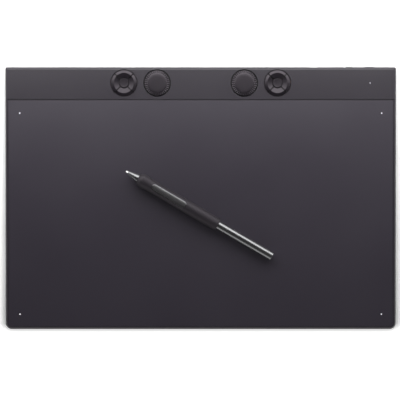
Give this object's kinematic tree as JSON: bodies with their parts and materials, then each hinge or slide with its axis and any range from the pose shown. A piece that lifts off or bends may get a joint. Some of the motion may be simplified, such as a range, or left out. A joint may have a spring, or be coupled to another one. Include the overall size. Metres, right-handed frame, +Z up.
{
  "type": "pen drawing tablet",
  "caption": "Thin wedge-shaped pen drawing tablet with dials and key rings on its rear band, and its cordless pen lying on the drawing surface.",
  "frame": {"origin": "middle of the tablet's box in plan, slider knob included, on the surface that the rubber feet stand on", "axes": "+X to the user's right, +Y from the user towards the rear edge with the controls, +Z up"},
  "size_m": [0.377, 0.2536, 0.0201],
  "materials": {
    "case_plastic": "fine moulded texture, soft satin",
    "base_plastic": "fine moulded texture, matt",
    "sheet_film": "micro-textured film, matt",
    "dial_plastic": "moulded, satin",
    "key_plastic": "moulded, satin",
    "slider_plastic": "moulded, satin",
    "switch_plastic": "moulded, plain",
    "board_green": "solder mask over glass laminate",
    "shield_foil": "rolled foil",
    "battery_pouch": "laminated foil pouch",
    "lead_sleeve": "flat lead, plain",
    "flex_amber": "polyimide film",
    "steel": "plated",
    "black_steel": "black plated",
    "socket_steel": "pressed and plated",
    "light_pipe": "clear moulded, lit from below",
    "light_chip": "encapsulated chip",
    "foot_rubber": "matt",
    "grip_rubber": "soft-touch silicone, matt",
    "pen_metal": "anodised, satin",
    "plate_metal": "brushed",
    "pen_plastic": "moulded, plain",
    "nib_plastic": "moulded, smooth",
    "coil_copper": "enamelled winding wire"
  },
  "bodies": {
    "tablet": {"top_case": "case_plastic", "bottom_cover": "base_plastic", "drawing_sheet": "sheet_film", "sensor_board": "board_green", "shield_sheet": "shield_foil", "main_board": "board_green", "control_board": "board_green", "antenna_board": "board_green", "battery": "battery_pouch", "battery_lead": "lead_sleeve", "sensor_flex": "flex_amber", "control_flex": "flex_amber", "dial_encoders": "switch_plastic", "key_switches": "switch_plastic", "data_socket": "socket_steel", "socket_tongue": "switch_plastic", "power_switch": "steel", "mode_switch": "steel", "status_light_pipe": "light_pipe", "corner_light_pipes": "light_pipe", "light_chips": "light_chip", "rubber_feet": "foot_rubber", "case_screws": "black_steel", "board_screws": "steel"},
    "left_dial": {"left_dial": "dial_plastic", "left_dial_clip": "steel"},
    "right_dial": {"right_dial": "dial_plastic", "right_dial_clip": "steel"},
    "left_key_rear": {"left_key_rear": "key_plastic"},
    "left_key_left": {"left_key_left": "key_plastic"},
    "left_key_front": {"left_key_front": "key_plastic"},
    "left_key_right": {"left_key_right": "key_plastic"},
    "left_key_centre": {"left_key_centre": "key_plastic"},
    "right_key_rear": {"right_key_rear": "key_plastic"},
    "right_key_left": {"right_key_left": "key_plastic"},
    "right_key_front": {"right_key_front": "key_plastic"},
    "right_key_right": {"right_key_right": "key_plastic"},
    "right_key_centre": {"right_key_centre": "key_plastic"},
    "power_slider": {"power_slider": "slider_plastic", "power_switch_lever": "switch_plastic"},
    "mode_button": {"mode_button": "slider_plastic"},
    "pen": {"pen_nose_cone": "pen_metal", "pen_grip": "grip_rubber", "pen_barrel": "pen_metal", "pen_end_cap": "pen_metal", "pen_switch_plate": "plate_metal", "pen_chassis": "pen_plastic", "pen_circuit_board": "board_green", "pen_coil": "coil_copper", "pen_pressure_sensor": "pen_plastic", "pen_switches": "steel"},
    "pen_nib": {"pen_nib": "nib_plastic"},
    "pen_button_front": {"pen_button_front": "plate_metal"},
    "pen_button_middle": {"pen_button_middle": "plate_metal"},
    "pen_button_rear": {"pen_button_rear": "plate_metal"}
  },
  "joints": [
    {"name": "left_dial_spin", "type": "hinge", "parent": "tablet", "child": "left_dial", "pos_m": [-0.042, 0.11075, 0.00742], "axis": [0, -0.0119, 0.9999], "continuous": true},
    {"name": "right_dial_spin", "type": "hinge", "parent": "tablet", "child": "right_dial", "pos_m": [0.042, 0.11075, 0.00742], "axis": [0, -0.0119, 0.9999], "continuous": true},
    {"name": "left_key_rear_press", "type": "slide", "parent": "tablet", "child": "left_key_rear", "axis": [0, 0.0119, -0.9999], "range_m": [0, 0.0005], "stiffness_N_per_m": 800},
    {"name": "left_key_left_press", "type": "slide", "parent": "tablet", "child": "left_key_left", "axis": [0, 0.0119, -0.9999], "range_m": [0, 0.0005], "stiffness_N_per_m": 800},
    {"name": "left_key_front_press", "type": "slide", "parent": "tablet", "child": "left_key_front", "axis": [0, 0.0119, -0.9999], "range_m": [0, 0.0005], "stiffness_N_per_m": 800},
    {"name": "left_key_right_press", "type": "slide", "parent": "tablet", "child": "left_key_right", "axis": [0, 0.0119, -0.9999], "range_m": [0, 0.0005], "stiffness_N_per_m": 800},
    {"name": "left_key_centre_press", "type": "slide", "parent": "tablet", "child": "left_key_centre", "axis": [0, 0.0119, -0.9999], "range_m": [0, 0.0005], "stiffness_N_per_m": 800},
    {"name": "right_key_rear_press", "type": "slide", "parent": "tablet", "child": "right_key_rear", "axis": [0, 0.0119, -0.9999], "range_m": [0, 0.0005], "stiffness_N_per_m": 800},
    {"name": "right_key_left_press", "type": "slide", "parent": "tablet", "child": "right_key_left", "axis": [0, 0.0119, -0.9999], "range_m": [0, 0.0005], "stiffness_N_per_m": 800},
    {"name": "right_key_front_press", "type": "slide", "parent": "tablet", "child": "right_key_front", "axis": [0, 0.0119, -0.9999], "range_m": [0, 0.0005], "stiffness_N_per_m": 800},
    {"name": "right_key_right_press", "type": "slide", "parent": "tablet", "child": "right_key_right", "axis": [0, 0.0119, -0.9999], "range_m": [0, 0.0005], "stiffness_N_per_m": 800},
    {"name": "right_key_centre_press", "type": "slide", "parent": "tablet", "child": "right_key_centre", "axis": [0, 0.0119, -0.9999], "range_m": [0, 0.0005], "stiffness_N_per_m": 800},
    {"name": "power_slide", "type": "slide", "parent": "tablet", "child": "power_slider", "axis": [-1, 0, 0], "range_m": [0, 0.002]},
    {"name": "mode_press", "type": "slide", "parent": "tablet", "child": "mode_button", "axis": [0, -1, 0], "range_m": [0, 0.0004], "stiffness_N_per_m": 900},
    {"name": "pen_lift", "type": "slide", "parent": "tablet", "child": "pen", "axis": [0, 0, 1], "range_m": [0, 0.12]},
    {"name": "nib_press", "type": "slide", "parent": "pen", "child": "pen_nib", "axis": [0.8633, -0.5043, -0.0168], "range_m": [0, 0.0004], "stiffness_N_per_m": 3000},
    {"name": "pen_button_front_press", "type": "slide", "parent": "pen", "child": "pen_button_front", "axis": [-0.0445, -0.043, -0.9981], "range_m": [0, 0.0003], "stiffness_N_per_m": 1500},
    {"name": "pen_button_middle_press", "type": "slide", "parent": "pen", "child": "pen_button_middle", "axis": [-0.0445, -0.043, -0.9981], "range_m": [0, 0.0003], "stiffness_N_per_m": 1500},
    {"name": "pen_button_rear_press", "type": "slide", "parent": "pen", "child": "pen_button_rear", "axis": [-0.0445, -0.043, -0.9981], "range_m": [0, 0.0003], "stiffness_N_per_m": 1500}
  ]
}
